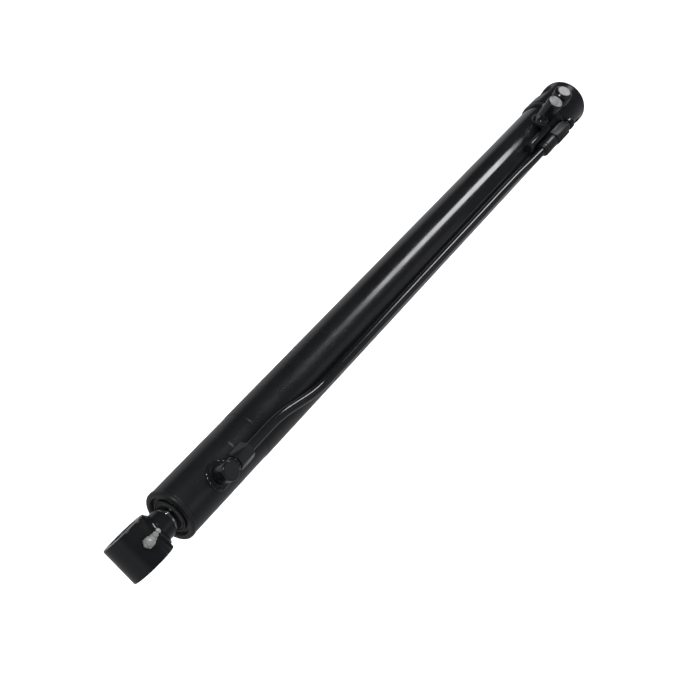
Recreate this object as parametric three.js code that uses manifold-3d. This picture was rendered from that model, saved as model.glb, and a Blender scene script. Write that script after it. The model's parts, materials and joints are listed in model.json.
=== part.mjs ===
// Double-acting hydraulic lift cylinder, closed length.
// +X runs from the base pin (origin) to the rod pin, Y is the pin direction, ports face +Z. Millimetres.
import * as THREE from 'three';
import { mergeVertices } from 'three/addons/utils/BufferGeometryUtils.js';
import Module from 'manifold-3d';

const wasm = await Module();
wasm.setup();

// Driving dimensions
const GAP = 0.3; // clearance kept between touching pieces
const PIN_TO_PIN = 1087;
const PIN_R = 15.9;
const BUSH_R = 19.05;

const BARREL_R = 35;
const BORE_R = 28.6;
const TURNED_R = 34.6; // barrel turned down before the rod-end port
const HEAD_TUBE_R = 34.75;
const TURNED_START = 877;
const TURNED_END = 920.5;
const BARREL_FRONT = 1023.4;
const THREAD_R = 29.8; // head thread, drawn at its major radius
const THREAD_START = 990;

const CAP_R = 37.8;
const CAP_BACK = -30;
const CAP_FRONT = 50;
const CAP_STEP = 44; // weld preparation on the cap's shoulder
const SPIGOT_END = 80;
const GREASE_HOLE_R = 4.7;
const OIL_HOLE_R = 5; // holes from the ports into the bore

const HEAD_FACE = 1030.4;
const HEAD_BACK = 972;
const HEAD_FLANGE_R = 35.4;
const DISH_R = 28.7;
const DISH_FLOOR = 1025.6;
const RIM_ROUND = 3; // round on the flange's outer edge
const RIM_STEPS = 4;
const SPANNER_HOLES = 4;
const SPANNER_HOLE_R = 1.8;
const SPANNER_CIRCLE_R = 24.8;

// Grooves as [start, end, radius of the floor]
const GLAND_O_RING_GROOVE = [975.5, 982.5, 25.4];
const GUIDE_GROOVE = [977.7, 988.3, 19.8];
const ROD_SEAL_GROOVE = [995.7, 1002.3, 21.5];
const WIPER_SEAT = [1021.5, 1029.6, 20.8];
const WIPER_LAND_R = 22.7; // raised land round the wiper

const ROD_R = 17.45;
const ROD_HOLE_R = ROD_R + GAP;
const ROD_SPIGOT_R = 15;
const ROD_BACK = 84;
const PISTON_BACK = 104.3;
const PISTON_FRONT = 139.3;
const WEAR_BACK_GROOVE = [107, 113, 26.2];
const PISTON_SEAL_GROOVE = [117, 126, 24];
const WEAR_FRONT_GROOVE = [130, 136, 26.2];
const PISTON_O_RING_GROOVE = [119.5, 123.5, 17.4];
const LOCK_NUT_BACK = 88;
const LOCK_NUT_R = 24;
const ROD_FRONT = 1039.7;

const EYE_R = 30.5;
const EYE_LENGTH = 52;
const SHANK_R = 19.05;
const SHANK_BACK = 1040;
const WELD_FRONT = -20; // from the rod pin, inside the eye's outline
const GREASE_TILT = 4.5; // degrees from +Z towards the rod end
const NIPPLE_LEAN = -50; // degrees from the fitting's base back towards the barrel
const NIPPLE_TWIST = 16; // degrees the nipple then turns towards -Y
const FITTING_BALL_RISE = 9.2; // ball's centre above the surface
const NIPPLE_SEAT_LENGTH = 7.2;
const FITTING_HEX_TOP = 5.8;

const LINE_R = 6.35;
const LINE_BORE_R = 4.5;
const LINE_HOLE_R = LINE_R + GAP;
const LINE_BASE_RADIUS = 47.5; // line axis to barrel axis at the base nut
const LINE_ROD_RADIUS = 48.3; // and at the rod-end nut
const NUT_CORNER_R = 12.6;
const NUT_CAVITY = 16; // depth of the threaded cavity
const NUT_CAVITY_R = 8.4;

// Angles about the barrel axis, from +Z towards +Y
const ROD_PORT_ANGLE = THREE.MathUtils.degToRad(9.2);
const LINE_ANGLE = THREE.MathUtils.degToRad(30.4);
const TEE_ANGLE = THREE.MathUtils.degToRad(-12);
const CAP_PORT_ANGLE = THREE.MathUtils.degToRad(-16.4);

const ROD_PORT_X = 963;
const TEE_X = 88.9;
const TEE_TOP = 82.6;
const LEG_R = 12.5;
const FACE_R = 11.3; // flat end face of a port leg
const CAP_PORT_X = 25;
const CAP_PORT_R = 14.6;
const CAP_PORT_TOP = 59;
const CAP_PLUG_R = 10;
const CAP_HOLE_R = 4.5;

// Facet counts
const LARGE = 40;
const MEDIUM = 20;
const SMALL = 14;
const PISTON_SIDES = 24;
const EYE_SIDES = 48;
const HEX = 6;

const PAINT = { color: 0x17191b, roughness: 0.22, metalness: 0.1 };
const CHROME = { color: 0xd0d2d4, roughness: 0.06, metalness: 1 };
const STEEL = { color: 0x8d8f92, roughness: 0.35, metalness: 1 };
const ZINC = { color: 0xc4c6c4, roughness: 0.3, metalness: 1 };
const BUSHING = { color: 0x9c9da0, roughness: 0.35, metalness: 1 };
const RUBBER = { color: 0x151515, roughness: 0.7, metalness: 0 };
const BEARING = { color: 0x2f5d50, roughness: 0.6, metalness: 0 };

// --- solids -------------------------------------------------------------------------------------

// A closed three.js geometry as a solid that can be joined and cut.
function solid(geometry) {
  geometry.deleteAttribute('normal');
  geometry.deleteAttribute('uv');
  const merged = mergeVertices(geometry, 1e-4);
  const source = merged.index.array;
  const triangles = [];
  for (let i = 0; i < source.length; i += 3) {
    const [a, b, c] = [source[i], source[i + 1], source[i + 2]];
    if (a !== b && b !== c && c !== a) {
      triangles.push(a, b, c);
    }
  }
  const vertProperties = new Float32Array(merged.attributes.position.array);
  return new wasm.Manifold(new wasm.Mesh({
    numProp: 3,
    vertProperties,
    triVerts: new Uint32Array(triangles),
  }));
}

// Turned about X. The profile is [x, radius] points: x rises along the outside and falls along a bore.
function turned(profile, segments = MEDIUM) {
  const points = profile.map(([x, r]) => new THREE.Vector2(r, x));
  return solid(new THREE.LatheGeometry(points, segments).rotateZ(-Math.PI / 2));
}

// Turned ring: the profile closes on itself.
function ring(profile, segments = MEDIUM) {
  return turned([...profile, profile[0]], segments);
}

// Plain ring between two radii, with a small chamfer on its outer corners.
function plainRing(x0, x1, inner, outer, segments = MEDIUM) {
  const chamfer = Math.min(0.4, (x1 - x0) / 4, (outer - inner) / 3);
  return ring([
    [x0, inner], [x0, outer - chamfer], [x0 + chamfer, outer],
    [x1 - chamfer, outer], [x1, outer - chamfer], [x1, inner],
  ], segments);
}

// Cylinder along X with its axis at y, z.
function rodAlongX(x0, x1, radius, y = 0, z = 0, segments = MEDIUM) {
  return turned([[x0, 0], [x0, radius], [x1, radius], [x1, 0]], segments).translate([0, y, z]);
}

// Cylinder along Y through the point x, z.
function rodAlongY(x, length, radius, segments = MEDIUM) {
  const bar = rodAlongX(-length / 2, length / 2, radius, 0, 0, segments);
  return bar.rotate([0, 0, 90]).translate([x, 0, 0]);
}

// Turned about a line parallel to Z through x: the profile is [z, radius] points.
function standing(x, profile, segments = MEDIUM) {
  return turned(profile, segments).rotate([0, -90, 0]).translate([x, 0, 0]);
}

// Cylinder between two points.
function rodBetween(from, to, radius, segments = SMALL) {
  const start = new THREE.Vector3(...from);
  const span = new THREE.Vector3(...to).sub(start);
  const geometry = new THREE.CylinderGeometry(radius, radius, span.length(), segments);
  const turn = new THREE.Quaternion().setFromUnitVectors(
    new THREE.Vector3(0, 1, 0),
    span.clone().normalize(),
  );
  geometry.applyQuaternion(turn);
  geometry.translate(...start.add(span.multiplyScalar(0.5)).toArray());
  return solid(geometry);
}

function ball(centre, radius, segments = SMALL) {
  const geometry = new THREE.SphereGeometry(radius, segments, segments / 2);
  geometry.translate(...centre);
  return solid(geometry);
}

// A point on the barrel's angle: x along it, radius from its axis.
function around(x, radius, angle) {
  return [x, radius * Math.sin(angle), radius * Math.cos(angle)];
}

// --- scene graph --------------------------------------------------------------------------------

const cylinder = new THREE.Group();
const rodPort = new THREE.Group();
const linePort = new THREE.Group();
const teePort = new THREE.Group();
const capPort = new THREE.Group();
const rodEnd = new THREE.Group();
rodPort.rotation.x = -ROD_PORT_ANGLE;
linePort.rotation.x = -LINE_ANGLE;
teePort.rotation.x = -TEE_ANGLE;
capPort.rotation.x = -CAP_PORT_ANGLE;
rodEnd.position.x = PIN_TO_PIN;
cylinder.add(rodPort, linePort, teePort, capPort, rodEnd);

function place(name, body, look, group = cylinder) {
  const { vertProperties, triVerts } = body.getMesh();
  const geometry = new THREE.BufferGeometry();
  geometry.setAttribute('position', new THREE.BufferAttribute(vertProperties, 3));
  geometry.setIndex(new THREE.BufferAttribute(triVerts, 1));
  const mesh = new THREE.Mesh(geometry, new THREE.MeshStandardMaterial(look));
  mesh.name = name;
  group.add(mesh);
  return mesh;
}

// --- barrel and base cap ------------------------------------------------------------------------

// Round hole through the barrel's wall under a port.
function oilHole(x, angle) {
  return rodBetween(around(x, BORE_R - 5, angle), around(x, BARREL_R + 5, angle), OIL_HOLE_R);
}

function barrel() {
  const tube = ring([
    [CAP_FRONT + GAP, BORE_R], [CAP_FRONT + GAP, BARREL_R],
    [TURNED_START, BARREL_R], [TURNED_START + 1, TURNED_R],
    [TURNED_END, TURNED_R], [TURNED_END + 1, HEAD_TUBE_R],
    [BARREL_FRONT, HEAD_TUBE_R], [BARREL_FRONT, THREAD_R],
    [THREAD_START, THREAD_R], [THREAD_START - 1, BORE_R],
  ], LARGE);
  return tube.subtract(oilHole(ROD_PORT_X, ROD_PORT_ANGLE)).subtract(oilHole(TEE_X, TEE_ANGLE));
}

function baseCap() {
  const body = turned([
    [CAP_BACK, 0], [CAP_BACK, CAP_R - 2.2], [CAP_BACK + 1, CAP_R - 1], [CAP_BACK + 4, CAP_R],
    [CAP_STEP, CAP_R], [CAP_STEP, BARREL_R], [CAP_FRONT, BARREL_R],
    [CAP_FRONT, BORE_R - GAP], [SPIGOT_END - 2, BORE_R - GAP],
    [SPIGOT_END, BORE_R - 2.5], [SPIGOT_END, 0],
  ], LARGE);
  const pinBore = rodAlongY(0, 4 * CAP_R, BUSH_R + GAP);
  const portHole = rodBetween(
    around(CAP_PORT_X, 14, CAP_PORT_ANGLE),
    around(CAP_PORT_X, 45, CAP_PORT_ANGLE),
    CAP_HOLE_R,
  );
  const crossHole = rodBetween(around(CAP_PORT_X, 16, CAP_PORT_ANGLE), around(41, 45, LINE_ANGLE), 4);
  const greaseHole = rodBetween([0, 0, -10], [0, 0, -45], GREASE_HOLE_R);
  return body.subtract(pinBore).subtract(portHole).subtract(crossHole).subtract(greaseHole);
}

// Weld bead in the notch between the cap's shoulder and the barrel.
function baseWeld() {
  const start = CAP_STEP + GAP;
  const width = 14;
  const foot = BARREL_R + GAP;
  const crown = [];
  for (let i = 0; i <= 6; i += 1) {
    const share = i / 6;
    crown.push([start + width * share, foot + 0.8 + 2.4 * Math.sin(Math.PI * (0.2 + 0.75 * share))]);
  }
  return ring([[start, foot], ...crown, [start + width, foot]], LARGE);
}

function bushing(x) {
  const length = EYE_LENGTH - 2;
  return rodAlongY(x, length, BUSH_R).subtract(rodAlongY(x, 2 * length, PIN_R));
}

place('barrel', barrel(), PAINT);
place('base_cap', baseCap(), PAINT);
place('base_weld_bead', baseWeld(), PAINT);
place('base_bushing', bushing(0), BUSHING);

// --- head gland and its seals -------------------------------------------------------------------

// Profile points of a square groove in a surface of the given radius, from its back to its front.
function groove([back, front, floor], surface) {
  return [[back, surface], [back, floor], [front, floor], [front, surface]];
}

function headGland() {
  const rim = [];
  for (let i = 0; i <= RIM_STEPS; i += 1) {
    const turn = (i / RIM_STEPS) * (Math.PI / 2);
    rim.push([
      HEAD_FACE - RIM_ROUND * (1 - Math.sin(turn)),
      HEAD_FLANGE_R - RIM_ROUND * (1 - Math.cos(turn)),
    ]);
  }
  const body = ring([
    [HEAD_BACK, ROD_HOLE_R], [HEAD_BACK, BORE_R - GAP],
    ...groove(GLAND_O_RING_GROOVE, BORE_R - GAP),
    [THREAD_START, BORE_R - GAP], [THREAD_START + 1, THREAD_R - GAP],
    [BARREL_FRONT + GAP, THREAD_R - GAP], [BARREL_FRONT + GAP, HEAD_FLANGE_R - 0.5],
    [BARREL_FRONT + 0.8, HEAD_FLANGE_R],
    ...rim, [HEAD_FACE, DISH_R], [DISH_FLOOR, DISH_R - 2], [DISH_FLOOR, WIPER_LAND_R],
    [HEAD_FACE - 1.2, WIPER_LAND_R], [HEAD_FACE - 0.8, WIPER_LAND_R - 0.4],
    ...groove(WIPER_SEAT, ROD_HOLE_R).reverse().slice(1),
    ...groove(ROD_SEAL_GROOVE, ROD_HOLE_R).reverse(),
    ...groove(GUIDE_GROOVE, ROD_HOLE_R).reverse(),
  ], LARGE);
  let drilled = body;
  for (let i = 0; i < SPANNER_HOLES; i += 1) {
    const turn = (i + 0.5) * (2 * Math.PI / SPANNER_HOLES);
    const [, y, z] = around(0, SPANNER_CIRCLE_R, turn);
    drilled = drilled.subtract(rodAlongX(DISH_FLOOR - 4, HEAD_FACE + 2, SPANNER_HOLE_R, y, z, 12));
  }
  return drilled;
}

function wiper() {
  return ring([
    [1021.8, ROD_HOLE_R], [1021.8, 20.5], [1028.6, 20.5], [1030.2, 18.9], [1031, ROD_HOLE_R + 0.2],
    [1030.6, ROD_HOLE_R], [1028, ROD_HOLE_R + 0.8],
  ], MEDIUM);
}

// Ring that fills a groove cut outwards from a bore.
function ringInside([back, front, floor], bore) {
  return plainRing(back + GAP, front - GAP, bore, floor - GAP);
}

// Ring that fills a groove cut inwards from an outside surface.
function ringOutside([back, front, floor], surface) {
  return plainRing(back + GAP, front - GAP, floor + GAP, surface, PISTON_SIDES);
}

// O-ring: a round section turned about X.
function oRing(x, radius, section) {
  const geometry = new THREE.TorusGeometry(radius, section, 6, MEDIUM);
  return solid(geometry.rotateY(Math.PI / 2).translate(x, 0, 0));
}

place('head_gland', headGland(), PAINT);
place('rod_wiper', wiper(), RUBBER);
place('rod_seal', ringInside(ROD_SEAL_GROOVE, ROD_HOLE_R), RUBBER);
place('rod_guide_ring', ringInside(GUIDE_GROOVE, ROD_HOLE_R), BEARING);
place('gland_o_ring', oRing(977.4, 27, 1.25), RUBBER);
place('gland_backup_ring', plainRing(979.2, 982.2, 26.1, BORE_R - GAP), BEARING);

// --- rod, piston and rod eye --------------------------------------------------------------------

function pistonRod() {
  return turned([
    [ROD_BACK, 0], [ROD_BACK, ROD_SPIGOT_R - 1.5], [ROD_BACK + 1.5, ROD_SPIGOT_R],
    [PISTON_FRONT + GAP, ROD_SPIGOT_R], [PISTON_FRONT + GAP, ROD_R],
    [ROD_FRONT, ROD_R], [ROD_FRONT, 0],
  ], PISTON_SIDES);
}

function piston() {
  const outer = BORE_R - GAP;
  const inner = ROD_SPIGOT_R + GAP;
  return ring([
    [PISTON_BACK, inner], [PISTON_BACK, outer - 1], [PISTON_BACK + 1, outer],
    ...groove(WEAR_BACK_GROOVE, outer),
    ...groove(PISTON_SEAL_GROOVE, outer),
    ...groove(WEAR_FRONT_GROOVE, outer),
    [PISTON_FRONT - 1, outer], [PISTON_FRONT, outer - 1], [PISTON_FRONT, inner],
    ...groove(PISTON_O_RING_GROOVE, inner).reverse(),
  ], PISTON_SIDES);
}

function lockNut() {
  const front = PISTON_BACK - GAP;
  const outside = turned([
    [LOCK_NUT_BACK, 0], [LOCK_NUT_BACK, LOCK_NUT_R - 1.5], [LOCK_NUT_BACK + 1.5, LOCK_NUT_R],
    [front, LOCK_NUT_R], [front, 0],
  ], HEX);
  return outside.subtract(rodAlongX(LOCK_NUT_BACK - 8, front + 6, ROD_SPIGOT_R + GAP));
}

place('piston_rod', pistonRod(), CHROME);
place('piston', piston(), STEEL);
place('piston_seal', ringOutside(PISTON_SEAL_GROOVE, BORE_R - GAP), BEARING);
place('piston_wear_ring_back', ringOutside(WEAR_BACK_GROOVE, BORE_R - GAP), BEARING);
place('piston_wear_ring_front', ringOutside(WEAR_FRONT_GROOVE, BORE_R - GAP), BEARING);
place('piston_bore_o_ring', oRing(121.5, 16.3, 0.8), RUBBER);
place('piston_lock_nut', lockNut(), STEEL);

// The rod end's own frame has its origin at the rod pin.

function eyeTube() {
  const half = EYE_LENGTH / 2;
  const tube = turned([
    [-half, 0], [-half, EYE_R - 0.8], [-half + 0.8, EYE_R],
    [half - 0.8, EYE_R], [half, EYE_R - 0.8], [half, 0],
  ], EYE_SIDES).rotate([0, 0, 90]);
  const greaseHole = rodBetween([0, 0, 10], [0, 0, EYE_R + 6], GREASE_HOLE_R, 12);
  const tilted = greaseHole.rotate([0, GREASE_TILT, 0]);
  return tube.subtract(rodAlongY(0, 2 * EYE_LENGTH, BUSH_R + GAP)).subtract(tilted);
}

// Collar between the chromed rod and the eye, coped to the eye's outside.
function eyeShank() {
  const back = SHANK_BACK - PIN_TO_PIN;
  const bar = turned([
    [back, 0], [back, SHANK_R - 0.8], [back + 0.8, SHANK_R], [WELD_FRONT, SHANK_R], [WELD_FRONT, 0],
  ], LARGE);
  return bar.subtract(rodAlongY(0, 2 * EYE_LENGTH, EYE_R + GAP, EYE_SIDES));
}

function eyeWeld() {
  const foot = SHANK_R + GAP;
  const bead = ring([
    [-35, foot], [-34.4, foot + 1.4], [-31, foot + 3.2], [-26, foot + 5.2],
    [WELD_FRONT, foot + 5.6], [WELD_FRONT, foot],
  ], LARGE);
  return bead.subtract(rodAlongY(0, 2 * EYE_LENGTH, EYE_R + GAP, EYE_SIDES));
}

// Hex base and body of a grease fitting standing on +Z from a surface at the given height.
function greaseBase(height) {
  const stem = standing(0, [[height - 7, 0], [height - 7, 4.3], [height + 0.6, 4.3], [height + 0.6, 0]], 12);
  const hexPart = standing(0, [
    [height + 0.5, 0], [height + 0.5, 6.6], [height + 1.1, 7.2], [height + 5, 7.2],
    [height + FITTING_HEX_TOP, 6.3], [height + FITTING_HEX_TOP, 0],
  ], HEX);
  return stem.add(hexPart);
}

// Nipple with its round head, standing on +Z from z = 0.
function nipple() {
  return standing(0, [
    [0, 0], [0, 3.5], [3.4, 3.5], [4.4, 2.6], [6, 2.4], [7, 3.3], [8.2, 3.4], [9.6, 2.4],
    [10.2, 1.2], [10.2, 0],
  ], 16);
}

// Leans a piece made on the fitting's nipple axis and sets it on the fitting's ball.
function onBall(piece) {
  const leaning = piece.rotate([0, NIPPLE_LEAN, 0]).rotate([0, 0, NIPPLE_TWIST]);
  return leaning.translate([0, 0, EYE_R + FITTING_BALL_RISE]);
}

function rodGreaseBody() {
  const shoulder = onBall(rodBetween([0, 0, 0], [0, 0, NIPPLE_SEAT_LENGTH], 4.6, 16));
  const centre = ball([0, 0, EYE_R + FITTING_BALL_RISE], 5.9, 16);
  return greaseBase(EYE_R + GAP).add(centre).add(shoulder).rotate([0, GREASE_TILT, 0]);
}

function rodGreaseNipple() {
  return onBall(nipple().translate([0, 0, NIPPLE_SEAT_LENGTH + GAP])).rotate([0, GREASE_TILT, 0]);
}

place('rod_eye', eyeTube(), PAINT, rodEnd);
place('rod_eye_shank', eyeShank(), PAINT, rodEnd);
place('rod_eye_weld', eyeWeld(), PAINT, rodEnd);
place('rod_eye_bushing', bushing(0), BUSHING, rodEnd);
place('rod_grease_body', rodGreaseBody(), ZINC, rodEnd);
place('rod_grease_nipple', rodGreaseNipple(), ZINC, rodEnd);

// Straight grease fitting under the base cap.
function baseNipple() {
  return nipple().translate([0, 0, CAP_R + FITTING_HEX_TOP + 2 * GAP]).rotate([180, 0, 0]);
}

place('base_grease_body', greaseBase(CAP_R + GAP).rotate([180, 0, 0]), ZINC);
place('base_grease_nipple', baseNipple(), ZINC);

// --- ports --------------------------------------------------------------------------------------

// Weld-on boss: a low round pad with a through hole, cut to the barrel.
function portPad(x, radius, top, holeRadius, seat) {
  const pad = standing(x, [[20, 0], [20, radius], [top - 0.8, radius], [top, radius - 0.8], [top, 0]]);
  const hole = standing(x, [[10, 0], [10, holeRadius], [top + 5, holeRadius], [top + 5, 0]], SMALL);
  return pad.subtract(rodAlongX(x - 60, x + 60, seat + GAP, 0, 0, LARGE)).subtract(hole);
}

// Fillet weld round a standing leg, cut to the barrel or cap below it.
function filletWeld(x, radius, width, top, seat) {
  const bead = standing(x, [
    [20, radius], [20, radius + width], [top - width * 0.8, radius + width],
    [top - width * 0.3, radius + width * 0.7], [top, radius + width * 0.12], [top, radius], [20, radius],
  ]);
  return bead.subtract(rodAlongX(x - 60, x + 60, seat + GAP, 0, 0, LARGE));
}

const PAD_R = 15;
const PAD_TOP = 38;
const LEG_TOP = 61.6;
const BRANCH_END = 937;
const BRANCH_STEP = 945;

// Right-angle fitting: a round leg standing on the pad, and a branch towards the line.
function rodPortElbow() {
  const leg = standing(ROD_PORT_X, [
    [PAD_TOP - 2.4, 0], [PAD_TOP - 2.4, 6.6], [PAD_TOP + GAP, 6.7],
    [PAD_TOP + GAP, LEG_R - 2], [PAD_TOP + 3, LEG_R],
    [LEG_TOP - 1.6, LEG_R], [LEG_TOP, FACE_R], [LEG_TOP, 0],
  ]);
  const branch = turned([
    [BRANCH_END, 0], [BRANCH_END, 7], [BRANCH_END + 1, 8], [BRANCH_STEP, 8],
    [BRANCH_STEP, 10], [ROD_PORT_X, 10], [ROD_PORT_X, 0],
  ], 24).translate([0, 0, LINE_ROD_RADIUS]);
  const down = standing(ROD_PORT_X, [[30, 0], [30, LINE_BORE_R], [50, LINE_BORE_R], [50, 0]], 16);
  const along = rodAlongX(BRANCH_END - 5, ROD_PORT_X, LINE_BORE_R - 0.4, 0, LINE_ROD_RADIUS, 16);
  return leg.add(branch).subtract(down).subtract(along);
}

// Hex tube nut along X from its open end to its tube end, on the line's axis.
function tubeNut(openEnd, tubeEnd, radius) {
  const toTube = Math.sign(tubeEnd - openEnd);
  const low = Math.min(openEnd, tubeEnd);
  const high = Math.max(openEnd, tubeEnd);
  const body = turned([
    [low, 0], [low, NUT_CORNER_R - 1.6], [low + 1.6, NUT_CORNER_R], [high - 1.6, NUT_CORNER_R],
    [high, NUT_CORNER_R - 1.6], [high, 0],
  ], HEX).rotate([30, 0, 0]);
  const mouth = openEnd - toTube;
  const depth = openEnd + toTube * NUT_CAVITY;
  const cavity = rodAlongX(Math.min(mouth, depth), Math.max(mouth, depth), NUT_CAVITY_R);
  const hole = rodAlongX(low - 1, high + 1, LINE_HOLE_R, 0, 0, SMALL);
  return body.subtract(cavity).subtract(hole).translate([0, 0, radius]);
}

// Tapered ferrule on the tube inside its nut.
function ferrule(x0, x1, radius) {
  const cone = ring([[x0, LINE_HOLE_R], [x0, 8], [x1, 7.3], [x1, LINE_HOLE_R]], SMALL);
  return cone.translate([0, 0, radius]);
}

place('rod_port_pad', portPad(ROD_PORT_X, PAD_R, PAD_TOP, 7, HEAD_TUBE_R), PAINT, rodPort);
place('rod_port_weld', filletWeld(ROD_PORT_X, PAD_R + GAP, 4.2, PAD_TOP - 0.8, HEAD_TUBE_R), PAINT, rodPort);
place('rod_port_elbow', rodPortElbow(), PAINT, rodPort);
place('rod_line_nut', tubeNut(944, 918.5, LINE_ROD_RADIUS), PAINT, rodPort);
place('rod_line_ferrule', ferrule(929, 935, LINE_ROD_RADIUS), STEEL, rodPort);

// --- steel line along the barrel ----------------------------------------------------------------

const LINE_BASE_END = 83;
const BLOCK_BACK = 46;
const BLOCK_FRONT = 58;
const BLOCK_R = 10;
const BLOCK_DRILL_X = 52;
const BLOCK_DRILL_R = 3.2;
const LINE_STEPS = 40;

// Route as [x, radius from the barrel axis, degrees round it], from the base nut to the rod-end nut.
const LINE_ROUTE = [
  [LINE_BASE_END, LINE_BASE_RADIUS, 30.4], [120, LINE_BASE_RADIUS, 30.4], [150, LINE_BASE_RADIUS, 30.4],
  [180, 46.6, 30.4], [215, 44.2, 30.4], [245, 43.4, 30.4], [420, 43.4, 30.4], [600, 43.4, 30.4],
  [735, 43.4, 30.4], [765, 43.5, 29.8], [788, 44.3, 26.2], [815, 46, 18.5], [842, 47.8, 11.6],
  [865, LINE_ROD_RADIUS, 9.2], [900, LINE_ROD_RADIUS, 9.2], [936.7, LINE_ROD_RADIUS, 9.2],
];

function steelLine() {
  const points = LINE_ROUTE.map(([x, radius, degrees]) => (
    new THREE.Vector3(...around(x, radius, THREE.MathUtils.degToRad(degrees)))
  ));
  const section = new THREE.Shape();
  section.absarc(0, 0, LINE_R, 0, 2 * Math.PI);
  const hole = new THREE.Path();
  hole.absarc(0, 0, LINE_BORE_R, 0, 2 * Math.PI, true);
  section.holes.push(hole);
  return solid(new THREE.ExtrudeGeometry(section, {
    steps: LINE_STEPS,
    curveSegments: 5,
    extrudePath: new THREE.CatmullRomCurve3(points),
  }));
}

// Swaged collar on the tube before the base nut.
function lineSleeve() {
  const sleeve = ring([
    [108.5, LINE_HOLE_R], [108.5, 9.4], [110, 10.4], [135, 10.4], [135.6, 9.4], [138, 9.4], [138.6, 10.4],
    [142, 10.4], [145, 8.2], [145, LINE_HOLE_R],
  ], 24);
  return sleeve.translate([0, 0, LINE_BASE_RADIUS]);
}

// Adapter between the nut and the block on the cap: neck, hex and the seat inside the nut.
function lineAdapter() {
  const neck = rodAlongX(58.3, 63, 8.2, 0, 0, SMALL);
  const hexPart = turned([
    [62.5, 0], [62.5, 9], [63.5, 10], [69.6, 10], [70.6, 9], [70.6, 0],
  ], HEX).rotate([30, 0, 0]);
  const seat = turned([[70, 0], [70, 8], [80, 8], [82.5, 6], [82.5, 0]], SMALL);
  const bore = rodAlongX(50, 90, LINE_BORE_R - 0.5, 0, 0, 16);
  return neck.add(hexPart).add(seat).subtract(bore).translate([0, 0, LINE_BASE_RADIUS]);
}

// Short round block over the cap's seam: it turns the line down towards the cap.
function lineBlock() {
  const block = turned([
    [BLOCK_BACK, 0], [BLOCK_BACK, BLOCK_R - 2.5], [BLOCK_BACK + 2.5, BLOCK_R],
    [BLOCK_FRONT - 1, BLOCK_R], [BLOCK_FRONT, BLOCK_R - 1], [BLOCK_FRONT, 0],
  ], 24).translate([0, 0, LINE_BASE_RADIUS]);
  const bore = rodAlongX(BLOCK_DRILL_X, BLOCK_FRONT + 4, LINE_BORE_R - 0.5, 0, LINE_BASE_RADIUS, 16);
  const down = standing(BLOCK_DRILL_X, [
    [30, 0], [30, BLOCK_DRILL_R], [LINE_BASE_RADIUS, BLOCK_DRILL_R], [LINE_BASE_RADIUS, 0],
  ], 16);
  const beadCut = rodAlongX(CAP_STEP, 80, CAP_R + 1.1, 0, 0, LARGE);
  return block.subtract(bore).subtract(down).subtract(beadCut);
}

place('steel_line', steelLine(), PAINT);
place('line_sleeve', lineSleeve(), PAINT, linePort);
place('base_line_nut', tubeNut(71, 108, LINE_BASE_RADIUS), PAINT, linePort);
place('base_line_ferrule', ferrule(84, 86.8, LINE_BASE_RADIUS), STEEL, linePort);
place('line_adapter', lineAdapter(), PAINT, linePort);
place('line_block', lineBlock(), PAINT, linePort);

// --- base-end ports -----------------------------------------------------------------------------

// Tall tee on the barrel: a standing leg, a rounded heel beside it and a closed run along the barrel.
const ARM_START = [TEE_X, 0, 45];
const ARM_R = 9.4;
const HEEL = [106, 2, 46];
const HEEL_R = 9.6;
const KNUCKLE_R = 6.2;
const RUN_Y = 14;
const RUN_Z = 41.6;
const RUN_START = 104;
const RUN_END = 160;
const RUN_R = 5.4;
const RUN_BORE_R = 2.6;
const TEE_WELD_WIDTH = 4.2;
const TEE_WELD_TOP = 39.6;

// The tee's arm, rounded heel and closed run, each thicker by grow.
function teeBranch(grow) {
  const arm = rodBetween(ARM_START, HEEL, ARM_R + grow);
  const heel = ball(HEEL, HEEL_R + grow, 24);
  const knuckle = ball([HEEL[0], RUN_Y, RUN_Z + 0.5], KNUCKLE_R + grow);
  const run = rodAlongX(RUN_START, RUN_END, RUN_R + grow, RUN_Y, RUN_Z, SMALL);
  return arm.add(heel).add(knuckle).add(run);
}

function portTee() {
  const leg = standing(TEE_X, [
    [20, 0], [20, LEG_R], [TEE_TOP - 1.8, LEG_R], [TEE_TOP, FACE_R + GAP], [TEE_TOP, 0],
  ]);
  const well = standing(TEE_X, [
    [10, 0], [10, OIL_HOLE_R], [TEE_TOP - 4, OIL_HOLE_R], [TEE_TOP - 4, FACE_R],
    [TEE_TOP + 2, FACE_R], [TEE_TOP + 2, 0],
  ], SMALL);
  const runBore = rodAlongX(RUN_START, RUN_END + 5, RUN_BORE_R, RUN_Y, RUN_Z, 12);
  const corner = [HEEL[0], HEEL[1], HEEL[2] - 2];
  const armBore = rodBetween([TEE_X, 0, 44], corner, RUN_BORE_R, 12);
  const crossBore = rodBetween(corner, [HEEL[0], RUN_Y, RUN_Z], RUN_BORE_R, 12);
  const bores = well.add(runBore).add(armBore).add(crossBore);
  const seat = rodAlongX(0, 200, BARREL_R + GAP, 0, 0, LARGE);
  return leg.add(teeBranch(0)).subtract(bores).subtract(seat);
}

// Fillet weld round the tee's leg, open where the arm passes.
function teeWeld() {
  const bead = filletWeld(TEE_X, LEG_R + GAP, TEE_WELD_WIDTH, TEE_WELD_TOP, BARREL_R);
  return bead.subtract(teeBranch(GAP));
}

function runPlug() {
  const start = RUN_END + GAP;
  const head = turned([
    [start, 0], [start, 6.6], [start + 1, 7.6], [start + 7, 7.6], [start + 8, 6.6], [start + 8, 0],
  ], HEX);
  const stem = rodAlongX(start - 8, start + 1, 2.2, 0, 0, 12);
  return head.add(stem).translate([0, RUN_Y, RUN_Z]);
}

// Round plug in a port's end face.
function facePlug(x, top, radius, depth) {
  return standing(x, [
    [top - depth, 0], [top - depth, radius], [top - 0.3, radius], [top, radius - 0.3], [top, 0],
  ]);
}

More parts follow.
